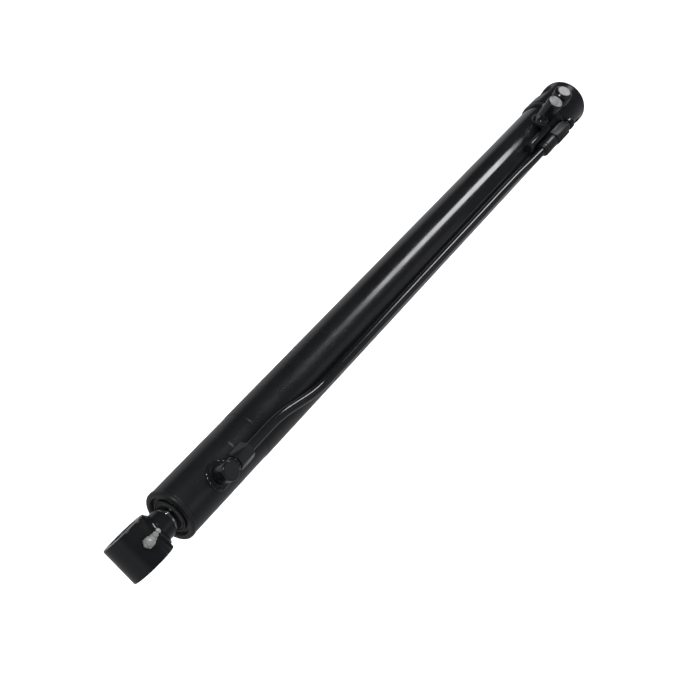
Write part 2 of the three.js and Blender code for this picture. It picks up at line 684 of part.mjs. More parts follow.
// Short round boss on the cap with a countersunk plug in its end face.
function capPortBoss() {
  const body = standing(CAP_PORT_X, [
    [20, 0], [20, CAP_PORT_R], [CAP_PORT_TOP - 3.4, CAP_PORT_R], [CAP_PORT_TOP, CAP_PORT_R - 3.8],
    [CAP_PORT_TOP, 0],
  ]);
  const well = standing(CAP_PORT_X, [
    [10, 0], [10, CAP_HOLE_R], [CAP_PORT_TOP - 6, CAP_HOLE_R], [CAP_PORT_TOP - 6, CAP_PLUG_R + GAP],
    [CAP_PORT_TOP + 3, CAP_PLUG_R + GAP], [CAP_PORT_TOP + 3, 0],
  ], 24);
  return body.subtract(rodAlongX(-20, 90, CAP_R + GAP, 0, 0, LARGE)).subtract(well);
}

place('port_tee', portTee(), PAINT, teePort);
place('port_tee_weld', teeWeld(), PAINT, teePort);
place('port_tee_plug', facePlug(TEE_X, TEE_TOP, FACE_R - GAP, 3.7), ZINC, teePort);
place('tee_run_plug', runPlug(), PAINT, teePort);
place('cap_port_boss', capPortBoss(), PAINT, capPort);
place('cap_port_plug', facePlug(CAP_PORT_X, CAP_PORT_TOP + 0.6, CAP_PLUG_R, 6.3), ZINC, capPort);

export default cylinder;
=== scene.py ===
import json
import math

import bmesh
import bpy
from mathutils import Matrix, Vector


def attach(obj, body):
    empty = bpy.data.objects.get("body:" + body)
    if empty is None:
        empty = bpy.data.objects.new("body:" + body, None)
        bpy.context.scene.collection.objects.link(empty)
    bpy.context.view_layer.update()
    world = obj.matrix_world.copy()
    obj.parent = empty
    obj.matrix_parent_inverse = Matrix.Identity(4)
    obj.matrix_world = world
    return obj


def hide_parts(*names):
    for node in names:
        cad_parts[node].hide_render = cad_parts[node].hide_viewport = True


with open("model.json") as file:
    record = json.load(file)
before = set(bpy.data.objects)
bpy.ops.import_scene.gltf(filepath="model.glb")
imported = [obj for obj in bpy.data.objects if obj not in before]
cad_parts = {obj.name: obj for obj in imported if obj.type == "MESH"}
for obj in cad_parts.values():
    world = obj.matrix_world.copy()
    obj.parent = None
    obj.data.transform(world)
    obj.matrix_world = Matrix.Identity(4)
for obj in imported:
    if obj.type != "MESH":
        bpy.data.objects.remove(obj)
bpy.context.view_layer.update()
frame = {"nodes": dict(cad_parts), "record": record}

# The part frame: origin at the base pin, +X towards the rod pin, Y along the pins, ports face +Z.
# Shapes are written in millimetres and scaled as their meshes are made.
MM = 0.001
GAP = 0.3  # left between neighbouring pieces

PIN_TO_PIN = 1087
PIN_R = 15.9
BUSH_R = 19.05
BARREL_R = 35
BORE_R = 28.6
COUNTERBORE_R = BORE_R + 1.2
COUNTERBORE_DEPTH = 33.4
TURNED_R = 34.6
HEAD_TUBE_R = 34.75
TURNED_START = 877
TURNED_END = 920.5
BARREL_FRONT = 1023.4
BARREL_BACK = 50.3
CAP_R = 37.8
CAP_BACK = -30
CAP_STEP = 44
HEAD_FACE = 1030.4
HEAD_BACK = 972
HEAD_FLANGE_R = 35.4
DISH_R = 28.7
DISH_FLOOR = 1025.6
WIPER_LAND_R = 22.7
ROD_R = 17.45
EYE_R = 30.5
EYE_HALF = 26
SHANK_R = 19.05
LINE_R = 6.35
LINE_BASE_RADIUS = 47.5
LINE_ROD_RADIUS = 48.3
NUT_CORNER_R = 12.6
ROD_PORT_X = 963
TEE_X = 88.9
TEE_TOP = 82.6
LEG_R = 12.5
FACE_R = 11.3
LEG_TOP = 61.6
PAD_R = 15
PAD_TOP = 38
PAD_FOOT = 30  # within the tube's wall, clear of the bore
CAP_PORT_X = 25
CAP_PORT_R = 14.6
CAP_PORT_TOP = 59
CAP_PLUG_R = 10
GREASE_TILT = 4.5
NIPPLE_LEAN = -50
NIPPLE_TWIST = 16
FITTING_BALL_RISE = 9.2
SEAT_LENGTH = 7.2

# Angles about the barrel's axis, in degrees from +Z towards +Y
ROD_PORT_ANGLE = 9.2
LINE_ANGLE = 30.4
TEE_ANGLE = -12
CAP_PORT_ANGLE = -16.4

# Sides of a turned shape
ROUND = 160
FINE = 96
SMALL = 48
TINY = 32
HEX = 6

SHARP_ANGLE = 32  # degrees; a steeper edge is shaded as a crease

BARREL_BODY = "barrel_assembly"
ROD_BODY = "rod_assembly"


# --- frames ---------------------------------------------------------------------------------------

def turn(degrees, axis):
    return Matrix.Rotation(math.radians(degrees), 4, axis)


def shift(x=0, y=0, z=0):
    return Matrix.Translation((x, y, z))


def at_angle(degrees):
    """A port's frame: its +Z is the direction at that angle round the barrel."""
    return turn(-degrees, "X")


def standing(x=0):
    """Turns the lathe's X axis up to +Z at x."""
    return shift(x) @ turn(-90, "Y")


IN_PLACE = Matrix.Identity(4)
ROD_END = shift(PIN_TO_PIN)
ALONG_Y = turn(90, "Z")
STAND = standing()
FLAT_OUT = turn(30, "X")  # turns a flat of a hexagon outwards


# --- mesh code ------------------------------------------------------------------------------------

CORNER_SHARE = 0.45  # the most of a profile's edge that one corner's curve takes up


def rounded(points, radius, closed=False, steps=3):
    """The profile with each corner rounded by a short curve."""
    count = len(points)
    result = []
    for i, (x, r) in enumerate(points):
        if not closed and i in (0, count - 1):
            result.append((x, r))
            continue
        here = Vector((x, r))
        before = Vector(points[i - 1]) - here
        after = Vector(points[(i + 1) % count]) - here
        reach = min(radius, CORNER_SHARE * before.length, CORNER_SHARE * after.length)
        start = here + before.normalized() * reach
        end = here + after.normalized() * reach
        for k in range(steps + 1):
            t = k / steps
            p = start * (1 - t) ** 2 + here * (2 * t * (1 - t)) + end * t ** 2
            result.append((p.x, p.y))
    return result


def grid_faces(rows, columns, wrap_rows):
    faces = []
    for i in range(rows if wrap_rows else rows - 1):
        for j in range(columns):
            nearer, further = i * columns, ((i + 1) % rows) * columns
            k = (j + 1) % columns
            faces.append((nearer + j, further + j, further + k, nearer + k))
    return faces


def bar_faces(rows, columns):
    """The faces along a bar, then the two that close its ends."""
    last = (rows - 1) * columns
    ends = [tuple(range(columns)), tuple(range(last + columns - 1, last - 1, -1))]
    return grid_faces(rows, columns, False) + ends


def lathe(profile, segments=ROUND, closed=False, radius=0.5, swell=None):
    """Turned about X from (x, radius) points. Open profiles start and end on the axis.
    swell(x, radius, angle) is added to the radius."""
    points = rounded(profile, radius, closed) if radius else list(profile)
    if not closed:
        points = points[1:-1]
    verts = []
    for x, r in points:
        for j in range(segments):
            angle = 2 * math.pi * j / segments
            full = r + (swell(x, r, angle) if swell else 0)
            verts.append((x, full * math.sin(angle), full * math.cos(angle)))
    if closed:
        return verts, grid_faces(len(points), segments, True)
    return verts, bar_faces(len(points), segments)


def bar(low, high, r, segments=FINE, radius=0.5):
    """A plain bar along X."""
    return lathe([(low, 0), (low, r), (high, r), (high, 0)], segments, radius=radius)


def ball(radius, rings=24):
    """A sphere about the origin, turned about X."""
    arc = [math.pi * i / rings for i in range(rings + 1)]
    return lathe([(-radius * math.cos(a), radius * math.sin(a)) for a in arc], SMALL, radius=0)


def sweep(points, radius, sides=TINY):
    """A round bar along a smooth path of points."""
    path = [Vector(p) for p in points]
    side = Vector((0, 1, 0))
    verts = []
    for i, p in enumerate(path):
        along = (path[min(i + 1, len(path) - 1)] - path[max(i - 1, 0)]).normalized()
        side = (side - along * side.dot(along)).normalized()
        up = along.cross(side)
        for j in range(sides):
            angle = 2 * math.pi * j / sides
            verts.append(p + side * (radius * math.cos(angle)) + up * (radius * math.sin(angle)))
    return verts, bar_faces(len(path), sides)


CRESCENT_BOW = 0.8  # how far a crescent's middle runs ahead of its toes
CRESCENT_FULLNESS = 0.6
WELD_OVERLAP = 1.2
SECTION_STEPS = 8
STEPS_PER_CRESCENT = 20


def ripple(count, angle, across):
    """Overlapping crescents of a weld bead, 0 to 1. across runs from one toe to the other."""
    phase = count * angle / (2 * math.pi) + CRESCENT_BOW * across * (1 - across)
    return abs(math.sin(math.pi * phase)) ** CRESCENT_FULLNESS


def saddle_bead(base_r, leg_r, width, height, count, rise=0.5):
    """Fillet weld of count crescents where a leg along Z meets a bar along X of radius base_r."""
    around_count = count * STEPS_PER_CRESCENT
    section = [(leg_r - WELD_OVERLAP, -WELD_OVERLAP, 0), (leg_r + width, -WELD_OVERLAP, 0)]
    for k in range(SECTION_STEPS + 1):
        a = math.pi / 2 * k / SECTION_STEPS
        section.append((leg_r + width * math.cos(a), height * math.sin(a), math.sin(2 * a)))
    section.append((leg_r - WELD_OVERLAP, height, 0))
    verts = []
    for ring_r, lift, share in section:
        for j in range(around_count):
            angle = 2 * math.pi * j / around_count
            uneven = 0.6 + 0.25 * math.sin(2 * angle + 0.6) + 0.15 * math.sin(5 * angle + 2)
            swell = rise * uneven * share * ripple(count, angle, share / 2)
            r = ring_r + swell
            across = r * math.sin(angle)
            seat = math.sqrt(base_r ** 2 - across ** 2)
            verts.append((r * math.cos(angle), across, seat + lift + swell))
    return verts, grid_faces(len(section), around_count, True)


def mesh_from(shapes):
    """One mesh from [(verts, faces), matrix] pairs in millimetres."""
    bm = bmesh.new()
    for (verts, faces), matrix in shapes:
        made = [bm.verts.new(matrix @ Vector(v) * MM) for v in verts]
        for face in faces:
            bm.faces.new([made[i] for i in face])
    bmesh.ops.recalc_face_normals(bm, faces=bm.faces)
    mesh = bpy.data.meshes.new("shape")
    bm.to_mesh(mesh)
    bm.free()
    return mesh


def new_object(name, mesh):
    made = bpy.data.objects.new(name, mesh)
    bpy.context.scene.collection.objects.link(made)
    return made


def apply_modifiers(piece):
    bpy.context.view_layer.update()
    graph = bpy.context.evaluated_depsgraph_get()
    mesh = bpy.data.meshes.new_from_object(piece.evaluated_get(graph))
    piece.modifiers.clear()
    piece.data = mesh


def combine(piece, shape, matrix, operation="DIFFERENCE"):
    """Cuts the shape from the piece, or keeps what they share."""
    other = new_object("cutter", mesh_from([(shape, matrix)]))
    modifier = piece.modifiers.new("combine", "BOOLEAN")
    modifier.object = other
    modifier.operation = operation
    modifier.solver = "EXACT"
    apply_modifiers(piece)
    bpy.data.objects.remove(other)


def soften(piece, width, angle=35):
    """A narrow round on every hard edge."""
    modifier = piece.modifiers.new("soften", "BEVEL")
    modifier.width = width * MM
    modifier.segments = 2
    modifier.limit_method = "ANGLE"
    modifier.angle_limit = math.radians(angle)
    modifier.use_clamp_overlap = True
    apply_modifiers(piece)


def melt(piece, voxel, passes):
    """Joins overlapping shapes into one casting with soft inside corners."""
    remesh = piece.modifiers.new("join", "REMESH")
    remesh.mode = "VOXEL"
    remesh.voxel_size = voxel * MM
    smooth = piece.modifiers.new("fillet", "SMOOTH")
    smooth.factor = 0.5
    smooth.iterations = passes
    apply_modifiers(piece)


def finish_piece(piece, body, look, nodes, angle=SHARP_ANGLE):
    """Shading, material, body and the CAD nodes the piece stands for."""
    for polygon in piece.data.polygons:
        polygon.use_smooth = True
    piece.data.set_sharp_from_angle(angle=math.radians(angle))
    piece.data.materials.clear()
    piece.data.materials.append(look)
    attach(piece, body)
    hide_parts(*nodes)


def piece_of(name, shapes, body, look, nodes, angle=SHARP_ANGLE):
    finish_piece(new_object(name, mesh_from(shapes)), body, look, nodes, angle)


def join_into(piece, shapes):
    """Adds shapes to a piece's mesh."""
    bm = bmesh.new()
    bm.from_mesh(piece.data)
    bm.from_mesh(mesh_from(shapes))
    bm.to_mesh(piece.data)
    bm.free()


def hex_block(name, low, high, corner, matrix, edge=1.2, soft=0.25):
    """Hexagon bar along X with turned chamfers on its corners."""
    made = new_object(name, mesh_from([(bar(low, high, corner, HEX, 0), matrix)]))
    chamfer_r = corner * math.cos(math.pi / HEX) * 0.97
    over = corner + 0.2
    combine(made, lathe([
        (low, 0), (low, chamfer_r), (low + edge, over), (high - edge, over), (high, chamfer_r),
        (high, 0),
    ], FINE, radius=0), matrix, "INTERSECT")
    soften(made, soft)
    return made


# --- materials ------------------------------------------------------------------------------------

class Graph:
    """Short ways to build a shader's nodes."""

    def __init__(self, owner):
        owner.use_nodes = True
        self.tree = owner.node_tree

    def feed(self, socket, value):
        """Links another node's output to the socket, or sets a plain value."""
        if isinstance(value, bpy.types.NodeSocket):
            self.tree.links.new(value, socket)
        else:
            socket.default_value = value

    def node(self, kind, **inputs):
        made = self.tree.nodes.new("ShaderNode" + kind)
        for socket, value in inputs.items():
            self.feed(made.inputs[socket.replace("_", " ")], value)
        return made

    def remap(self, value, low, high, to_low, to_high):
        return self.node(
            "MapRange", Value=value, From_Min=low, From_Max=high, To_Min=to_low,
            To_Max=to_high).outputs["Result"]

    def maths(self, operation, *values):
        made = self.node("Math")
        made.operation = operation
        for socket, value in zip(made.inputs, values):
            self.feed(socket, value)
        return made.outputs["Value"]


# The colour sockets of a mix node
UNDER, OVER, MIXED = 6, 7, 2


class Look(Graph):
    """A procedural material in the piece's own coordinates."""

    def __init__(self, name, **constant):
        self.material = bpy.data.materials.new(name)
        super().__init__(self.material)
        self.shader = self.tree.nodes["Principled BSDF"]
        self.place = self.node("TexCoord").outputs["Object"]
        for socket, value in constant.items():
            self.set(socket.replace("_", " "), value)

    def set(self, socket, value):
        self.feed(self.shader.inputs[socket], value)

    def noise(self, scale, detail=4.0, roughness=0.55, place=None):
        return self.node(
            "TexNoise", Vector=place or self.place, Scale=scale, Detail=detail,
            Roughness=roughness).outputs["Fac"]

    def stretched(self, x, y, z):
        return self.node("Mapping", Vector=self.place, Scale=(x, y, z)).outputs["Vector"]

    def tones(self, value, *stops):
        """Colours along a ramp from (position, (r, g, b)) stops."""
        made = self.node("ValToRGB", Fac=value)
        ramp = made.color_ramp
        while len(ramp.elements) < len(stops):
            ramp.elements.new(1)
        for element, (position, colour) in zip(ramp.elements, stops):
            element.position = position
            element.color = (*colour, 1)
        return made.outputs["Color"]

    def blend(self, share, under, over):
        made = self.node("Mix")
        made.data_type = "RGBA"
        self.feed(made.inputs["Factor"], share)
        self.feed(made.inputs[UNDER], under)
        self.feed(made.inputs[OVER], over)
        return made.outputs[MIXED]

    def relief(self, *layers):
        """Bump from (height, distance in millimetres) layers."""
        normal = None
        for height, distance in layers:
            made = self.node("Bump", Height=height, Strength=1.0, Distance=distance * MM)
            if normal:
                self.feed(made.inputs["Normal"], normal)
            normal = made.outputs["Normal"]
        self.set("Normal", normal)


ENAMEL_DARK = (0.0036, 0.0038, 0.0044)
ENAMEL_LIGHT = (0.0060, 0.0064, 0.0072)
DUST_DARK = (0.045, 0.046, 0.046)
DUST_LIGHT = (0.075, 0.075, 0.072)
DUST_SHARE = 0.12
METAL_GRAIN = 900.0


def paint(name, gloss, satin=0.0, relief=0.003):
    """Near-black enamel: orange peel, cloudy gloss, fine dust. satin dulls it towards the rod end."""
    look = Look(name, Specular_IOR_Level=0.34, Coat_Weight=0.1, Coat_Roughness=0.05)
    body = look.tones(look.noise(9.0, 3.0), (0.3, ENAMEL_DARK), (0.75, ENAMEL_LIGHT))
    specks = look.remap(look.noise(2600.0, 2.0), 0.70, 0.80, 0.0, DUST_SHARE)
    grey = look.tones(look.noise(60.0), (0.2, DUST_DARK), (0.8, DUST_LIGHT))
    look.set("Base Color", look.blend(specks, body, grey))
    cloudy = look.remap(look.noise(38.0, 5.0), 0.3, 0.7, gloss - 0.03, gloss + 0.05)
    streaks = look.noise(180.0, 3.0, place=look.stretched(0.08, 1, 1))
    rough = look.maths("ADD", cloudy, look.remap(streaks, 0.35, 0.7, 0.0, 0.04))
    if satin:
        split = look.node("SeparateXYZ", Vector=look.place)
        along = look.remap(split.outputs["X"], 0.15, 0.85, 0.0, satin)
        rough = look.maths("ADD", rough, along)
    look.set("Roughness", rough)
    look.relief((look.noise(420.0, 2.0), relief), (look.noise(1500.0, 2.0), relief * 0.35))
    return look.material


def metal(name, dark, light, rough_low, rough_high, metallic=1.0):
    """Bare or plated metal with fine grain, cloudy tarnish and small dull specks."""
    look = Look(name, Metallic=metallic)
    tone = look.tones(look.noise(120.0, 5.0), (0.3, dark), (0.72, light))
    stain = tuple(c * 0.45 for c in dark)
    specks = look.remap(look.noise(1700.0, 3.0), 0.62, 0.74, 0.0, 0.7)
    worn = look.tones(look.noise(300.0), (0.3, stain), (0.8, dark))
    look.set("Base Color", look.blend(specks, tone, worn))
    rough = look.remap(look.noise(METAL_GRAIN, 4.0), 0.3, 0.7, rough_low, rough_high)
    look.set("Roughness", rough)
    look.relief((look.noise(METAL_GRAIN, 3.0), 0.004))
    return look.material


def turned_metal(name, dark, light, rough_low, rough_high, axis):
    """Machined metal with fine tool marks running round the given axis."""
    look = Look(name, Metallic=1.0)
    along_axis = look.stretched(*(60 if a == axis else 1 for a in "XYZ"))
    marks = look.noise(60.0, 6.0, 0.7, along_axis)
    look.set("Base Color", look.tones(marks, (0.3, dark), (0.7, light)))
    look.set("Roughness", look.remap(marks, 0.3, 0.7, rough_low, rough_high))
    look.relief((marks, 0.003))
    return look.material


def dusted_face(name, light, dark, coarse):
    """Bare port face under a thin grey film, speckled where the film is broken."""
    look = Look(name, Metallic=0.25)
    film = look.tones(look.noise(160.0, 4.0), (0.3, dark), (0.65, light))
    chips = look.remap(look.noise(coarse, 1.0, 0.5), 0.54, 0.62, 0.0, 0.9)
    shade = look.tones(look.noise(500.0), (0.3, tuple(c * 0.3 for c in dark)), (0.7, dark))
    look.set("Base Color", look.blend(chips, film, shade))
    look.set("Roughness", look.remap(look.noise(260.0, 4.0), 0.3, 0.7, 0.42, 0.68))
    look.relief((look.noise(coarse, 3.0), 0.02))
    return look.material


def plain_polymer(name, dark, light, rough):
    """Rubber or filled plastic with a fine mottled skin."""
    look = Look(name, Specular_IOR_Level=0.35)
    look.set("Base Color", look.tones(look.noise(240.0, 5.0), (0.3, dark), (0.7, light)))
    look.set("Roughness", look.remap(look.noise(700.0), 0.3, 0.7, rough - 0.08, rough + 0.1))
    look.relief((look.noise(1300.0, 3.0), 0.01))
    return look.material


PAINT_BARREL = paint("paint_barrel", 0.09, satin=0.18)
PAINT_SMOOTH = paint("paint_smooth", 0.17)
PAINT_CAST = paint("paint_cast", 0.13, relief=0.006)
PAINT_WELD = paint("paint_weld", 0.10, relief=0.008)
PAINT_LINE = paint("paint_line", 0.14)
PAINT_SATIN = paint("paint_satin", 0.33, relief=0.01)
CHROME = turned_metal("rod_chrome", (0.52, 0.53, 0.54), (0.62, 0.63, 0.64), 0.05, 0.12, "X")
STEEL = metal("machined_steel", (0.33, 0.33, 0.34), (0.48, 0.48, 0.49), 0.25, 0.42)
ZINC = metal("zinc_fitting", (0.17, 0.175, 0.17), (0.40, 0.41, 0.40), 0.2, 0.4, metallic=0.5)
BUSHING = turned_metal("bushing_steel", (0.24, 0.24, 0.25), (0.42, 0.42, 0.43), 0.25, 0.42, "Y")
TEE_FACE = dusted_face("tee_face", (0.15, 0.15, 0.154), (0.08, 0.08, 0.083), 420.0)
CAP_FACE = dusted_face("cap_face", (0.20, 0.20, 0.205), (0.16, 0.16, 0.165), 2200.0)
RUBBER = plain_polymer("seal_rubber", (0.010, 0.010, 0.010), (0.024, 0.024, 0.024), 0.6)
BEARING = plain_polymer("bearing_plastic", (0.03, 0.10, 0.08), (0.06, 0.17, 0.14), 0.5)

SLOT_LOOKS = {
    "black_paint": PAINT_SMOOTH,
    "rod_chrome": CHROME,
    "machined_steel": STEEL,
    "zinc_fitting": ZINC,
    "bare_port_face": CAP_FACE,
    "bushing_steel": BUSHING,
    "seal_rubber": RUBBER,
    "bearing_plastic": BEARING,
}

# Pieces that keep their CAD shape take their slot's material.
for entry in frame["record"]["subparts"]:
    kept = frame["nodes"].get(entry["node"])
    if kept:
        kept.data.materials.clear()
        kept.data.materials.append(SLOT_LOOKS[entry["material_slot"]])


# --- barrel, cap and gland ------------------------------------------------------------------------

def painted(name, shapes, nodes, look=PAINT_SMOOTH, body=BARREL_BODY, angle=SHARP_ANGLE):
    piece_of(name, shapes, body, look, nodes, angle)


BARREL_EDGE = 0.8
HEAD_EDGE = 0.4
painted("barrel_tube", [(lathe([
    (BARREL_BACK, BORE_R), (BARREL_BACK, BARREL_R - BARREL_EDGE),
    (BARREL_BACK + BARREL_EDGE, BARREL_R), (TURNED_START, BARREL_R), (TURNED_START + 1, TURNED_R),
    (TURNED_END, TURNED_R), (TURNED_END + 1, HEAD_TUBE_R), (BARREL_FRONT - HEAD_EDGE, HEAD_TUBE_R),
    (BARREL_FRONT, HEAD_TUBE_R - HEAD_EDGE), (BARREL_FRONT, COUNTERBORE_R),
    (BARREL_FRONT - COUNTERBORE_DEPTH, COUNTERBORE_R), (BARREL_FRONT - COUNTERBORE_DEPTH - 1, BORE_R),
], closed=True, radius=0.3), IN_PLACE)], ["barrel"], PAINT_BARREL, angle=20)

CAP_SHOULDER = 50
CAP_SPIGOT_END = 80
PIN_CUT_HALF = 60  # long enough to pass right through the cap
cap = new_object("base_cap_body", mesh_from([(lathe([
    (CAP_BACK, 0), (CAP_BACK, CAP_R - 2.2), (CAP_BACK + 1, CAP_R - 1), (CAP_BACK + 4, CAP_R),
    (CAP_STEP, CAP_R), (CAP_STEP, BARREL_R), (CAP_SHOULDER, BARREL_R), (CAP_SHOULDER, BORE_R - GAP),
    (CAP_SPIGOT_END, BORE_R - GAP), (CAP_SPIGOT_END, 0),
], radius=0.8), IN_PLACE)]))
combine(cap, bar(-PIN_CUT_HALF, PIN_CUT_HALF, BUSH_R + GAP, radius=0), ALONG_Y)
soften(cap, 0.5)
finish_piece(cap, BARREL_BODY, PAINT_SMOOTH, ["base_cap"])

BEAD_START = CAP_STEP + GAP
BEAD_WIDTH = 14
BEAD_FOOT_R = BARREL_R + 0.6
BEAD_CROWN = 1.9
BEAD_RIPPLE = 0.65
BEAD_CRESCENTS = 58
BEAD_STEPS = 12
BEAD_SEGMENTS = 8 * BEAD_CRESCENTS


def bead_swell(x, r, angle):
    across = (x - CAP_STEP) / BEAD_WIDTH
    if r < BARREL_R + 1 or not 0 < across < 1:
        return 0
    wander = 0.14 * math.sin(3 * angle + 0.7) + 0.1 * math.sin(7 * angle + 2)
    crescents = BEAD_RIPPLE * ripple(BEAD_CRESCENTS, angle, across)
    return (crescents + wander) * math.sin(math.pi * across)


bead = [(BEAD_START, BARREL_R + GAP)]
for step in range(BEAD_STEPS + 1):
    share = step / BEAD_STEPS
    crown = BEAD_CROWN * math.sin(math.pi * (0.2 + 0.75 * share))
    bead.append((BEAD_START + BEAD_WIDTH * share, BEAD_FOOT_R + crown))
bead.append((BEAD_START + BEAD_WIDTH, BARREL_R + GAP))
painted("base_weld_ring", [
    (lathe(bead, BEAD_SEGMENTS, closed=True, radius=0, swell=bead_swell), IN_PLACE),
], ["base_weld_bead"], PAINT_WELD)

BUSH_HALF = EYE_HALF - 1
BUSH_CHAMFER = 0.6
PIN_CHAMFER = 0.8
GROOVE_HALF = 1.6  # the grease groove at the bushing's middle
GROOVE_DEPTH = 0.7
BUSH = lathe([
    (-BUSH_HALF, PIN_R + PIN_CHAMFER), (-BUSH_HALF, BUSH_R - BUSH_CHAMFER),
    (BUSH_CHAMFER - BUSH_HALF, BUSH_R), (BUSH_HALF - BUSH_CHAMFER, BUSH_R),
    (BUSH_HALF, BUSH_R - BUSH_CHAMFER), (BUSH_HALF, PIN_R + PIN_CHAMFER),
    (BUSH_HALF - PIN_CHAMFER, PIN_R), (GROOVE_HALF, PIN_R), (GROOVE_HALF - 0.5, PIN_R + GROOVE_DEPTH),
    (0.5 - GROOVE_HALF, PIN_R + GROOVE_DEPTH), (-GROOVE_HALF, PIN_R),
    (PIN_CHAMFER - BUSH_HALF, PIN_R),
], FINE, closed=True, radius=0.15)
for name, matrix, body, node in (
        ("base_pin_bushing", ALONG_Y, BARREL_BODY, "base_bushing"),
        ("rod_pin_bushing", ROD_END @ ALONG_Y, ROD_BODY, "rod_eye_bushing")):
    piece_of(name, [(BUSH, matrix)], body, BUSHING, [node])

FLANGE_START = BARREL_FRONT + GAP
GLAND_SEAT_END = BARREL_FRONT - 32
WIPER_SEAT_R = 20.8
WIPER_SEAT_BACK = HEAD_FACE - 8.9
WIPER_LAND = HEAD_FACE - 0.8
gland = new_object("head_gland_body", mesh_from([(lathe([
    (HEAD_BACK, ROD_R + GAP), (HEAD_BACK, BORE_R - GAP), (GLAND_SEAT_END, BORE_R - GAP),
    (FLANGE_START, BORE_R + 0.9), (FLANGE_START, HEAD_FLANGE_R - 0.5),
    (BARREL_FRONT + 0.8, HEAD_FLANGE_R), (HEAD_FACE - 3, HEAD_FLANGE_R),
    (HEAD_FACE - 1.7, HEAD_FLANGE_R - 0.3), (HEAD_FACE - 0.5, HEAD_FLANGE_R - 1.4),
    (HEAD_FACE, HEAD_FLANGE_R - 3), (HEAD_FACE, DISH_R), (DISH_FLOOR, DISH_R - 2),
    (DISH_FLOOR, WIPER_LAND_R), (WIPER_LAND, WIPER_LAND_R), (WIPER_LAND, WIPER_SEAT_R),
    (WIPER_SEAT_BACK, WIPER_SEAT_R), (WIPER_SEAT_BACK, ROD_R + GAP),
], closed=True, radius=0.6), IN_PLACE)]))

WRENCH_HOLES = 4
WRENCH_CIRCLE_R = 24.8
WRENCH_HOLE_R = 1.8
WRENCH_HOLE_DEPTH = 4
wrench_hole = bar(DISH_FLOOR - WRENCH_HOLE_DEPTH, HEAD_FACE + 3.6, WRENCH_HOLE_R, TINY, 0)
for hole in range(WRENCH_HOLES):
    hole_angle = 2 * math.pi * (hole + 0.5) / WRENCH_HOLES
    combine(gland, wrench_hole, shift(
        0, WRENCH_CIRCLE_R * math.sin(hole_angle), WRENCH_CIRCLE_R * math.cos(hole_angle)))
finish_piece(gland, BARREL_BODY, PAINT_SATIN, ["head_gland"])

WIPER_BACK = 1021.8
WIPER_FRONT = 1028.6
WIPER_LIP = 1031
WIPER_R = 20.5
piece_of("rod_wiper_ring", [(lathe([
    (WIPER_BACK, ROD_R + GAP), (WIPER_BACK, WIPER_R), (WIPER_FRONT, WIPER_R),
    (WIPER_FRONT + 1.6, WIPER_R - 1.6), (WIPER_LIP, ROD_R + 0.5), (WIPER_LIP - 0.4, ROD_R + GAP),
    (WIPER_FRONT - 0.6, ROD_R + 1.1),
], FINE, closed=True, radius=0.2), IN_PLACE)], BARREL_BODY, RUBBER, ["rod_wiper"])


# --- rod and rod eye ------------------------------------------------------------------------------

ROD_BACK = 84
ROD_FRONT = 1039.7
PISTON_SEAT_R = 15
PISTON_SEAT_END = 139.6
piece_of("chromed_rod", [(lathe([
    (ROD_BACK, 0), (ROD_BACK, PISTON_SEAT_R - 1.5), (ROD_BACK + 1.5, PISTON_SEAT_R),
    (PISTON_SEAT_END, PISTON_SEAT_R), (PISTON_SEAT_END, ROD_R - 0.5), (PISTON_SEAT_END + 1.4, ROD_R),
    (ROD_FRONT - 0.5, ROD_R), (ROD_FRONT, ROD_R - 0.4), (ROD_FRONT, 0),
], FINE, radius=0.2), IN_PLACE)], ROD_BODY, CHROME, ["piston_rod"], 20)

EYE_MOUTH_R = BUSH_R + 1.1
painted("rod_eye_tube", [(lathe([
    (-EYE_HALF, EYE_MOUTH_R), (-EYE_HALF, EYE_R - 1), (1 - EYE_HALF, EYE_R), (EYE_HALF - 1, EYE_R),
    (EYE_HALF, EYE_R - 1), (EYE_HALF, EYE_MOUTH_R), (EYE_HALF - 0.8, BUSH_R + GAP),
    (0.8 - EYE_HALF, BUSH_R + GAP),
], closed=True, radius=0.7), ROD_END @ ALONG_Y)], ["rod_eye"], body=ROD_BODY, angle=25)

COLLAR_BACK = 1040
COLLAR_FRONT = 1065
painted("rod_eye_collar", [(lathe([
    (COLLAR_BACK, 0), (COLLAR_BACK, SHANK_R - 1), (COLLAR_BACK + 1, SHANK_R),
    (COLLAR_FRONT, SHANK_R), (COLLAR_FRONT, 0),
], radius=0.8), IN_PLACE)], ["rod_eye_shank"], body=ROD_BODY)

# The leg runs from the eye back towards the barrel, and the eye's own axis is Y.
TO_BARREL = Matrix(((0, 0, -1, 0), (1, 0, 0, 0), (0, -1, 0, 0), (0, 0, 0, 1)))
painted("rod_eye_bead", [
    (saddle_bead(EYE_R, SHANK_R, width=4.2, height=4.4, count=14), ROD_END @ TO_BARREL),
], ["rod_eye_weld"], PAINT_WELD, ROD_BODY)


# --- grease fittings ------------------------------------------------------------------------------

FITTING_CORNER_R = 7.2
FITTING_LOW = 0.5
FITTING_HIGH = 5.8
THREAD_R = 4.3
THREAD_DEPTH = 6
FITTING_BALL_R = 5.9
SEAT_R = 4.6
NIPPLE_RISE = 6.4
NIPPLE = lathe([
    (0, 0), (0, 3.5), (3.4, 3.5), (4.4, 2.6), (6, 2.3), (7, 3.3), (8.2, 3.4), (9.4, 2.5),
    (10.2, 1.3), (10.2, 0.7), (9.6, 0.5), (9.6, 0),
], SMALL, radius=0.35)


def fitting_body(name, foot, matrix):
    """A grease fitting's hexagon on its thread. foot is its height above the pin's axis."""
    made = hex_block(name, foot + FITTING_LOW, foot + FITTING_HIGH, FITTING_CORNER_R, matrix)
    join_into(made, [(bar(foot - THREAD_DEPTH, foot + 1, THREAD_R, SMALL), matrix)])
    return made


